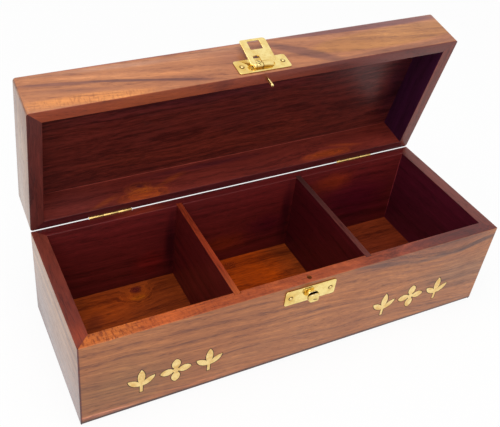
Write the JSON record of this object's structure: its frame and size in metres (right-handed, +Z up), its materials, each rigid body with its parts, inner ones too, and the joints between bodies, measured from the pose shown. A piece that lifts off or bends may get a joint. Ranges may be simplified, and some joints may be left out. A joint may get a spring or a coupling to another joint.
{
  "type": "tea bag organizer box",
  "caption": "Long wooden box with compartments under a hinged lid, brass hinges, brass inlay, and a hasp that closes over a turn button.",
  "frame": {"origin": "centre of the underside of the base", "axes": "+X along the box to the right seen from the front, +Y from front to back, +Z up; the lid stands open at its stop"},
  "size_m": [0.305, 0.1433, 0.1859],
  "materials": {
    "front_wood": "satin varnish over striped brown rosewood",
    "end_wood": "satin varnish over reddish brown rosewood",
    "back_wood": "satin varnish over dark rosewood",
    "divider_wood": "satin varnish over dark rosewood",
    "floor_wood": "satin varnish over orange brown wood with knots",
    "lid_panel_wood": "satin varnish over dark maroon rosewood",
    "inlay_brass": "sanded flush, satin",
    "filler": "dark lac filler",
    "latch_brass": "polished",
    "hinge_brass": "polished",
    "pin_brass": "polished",
    "fastener_brass": "polished"
  },
  "bodies": {
    "base": {"front_board": "front_wood", "right_board": "end_wood", "back_board": "back_wood", "left_board": "end_wood", "floor_panel": "floor_wood", "left_divider": "divider_wood", "right_divider": "divider_wood", "left_inlay": "inlay_brass", "right_inlay": "inlay_brass", "left_inlay_filler": "filler", "right_inlay_filler": "filler", "catch_plate": "latch_brass", "catch_plate_nails": "fastener_brass", "left_hinge_base_leaf": "hinge_brass", "right_hinge_base_leaf": "hinge_brass", "left_hinge_pin": "hinge_brass", "right_hinge_pin": "hinge_brass", "base_hinge_screws": "fastener_brass"},
    "lid": {"lid_front_board": "front_wood", "lid_right_board": "end_wood", "lid_back_board": "back_wood", "lid_left_board": "end_wood", "lid_panel": "lid_panel_wood", "left_hinge_lid_leaf": "hinge_brass", "right_hinge_lid_leaf": "hinge_brass", "lid_hinge_screws": "fastener_brass", "hasp_plate": "latch_brass", "hasp_plate_nails": "fastener_brass", "hasp_pin": "pin_brass", "alignment_pin": "pin_brass"},
    "hasp": {"hasp": "latch_brass"},
    "turn_button": {"turn_button": "latch_brass"}
  },
  "joints": [
    {"name": "lid_hinge", "type": "hinge", "parent": "base", "child": "lid", "pos_m": [0, 0.0526, 0.07125], "axis": [1, 0, 0], "range_deg": [0, 79]},
    {"name": "hasp_hinge", "type": "hinge", "parent": "lid", "child": "hasp", "pos_m": [0.0007, 0.03842, 0.1775], "axis": [1, 0, 0], "range_deg": [0, 170.6]},
    {"name": "button_turn", "type": "hinge", "parent": "base", "child": "turn_button", "pos_m": [0.0007, -0.0535, 0.06155], "axis": [0, -1, 0], "range_deg": [0, 90]}
  ]
}
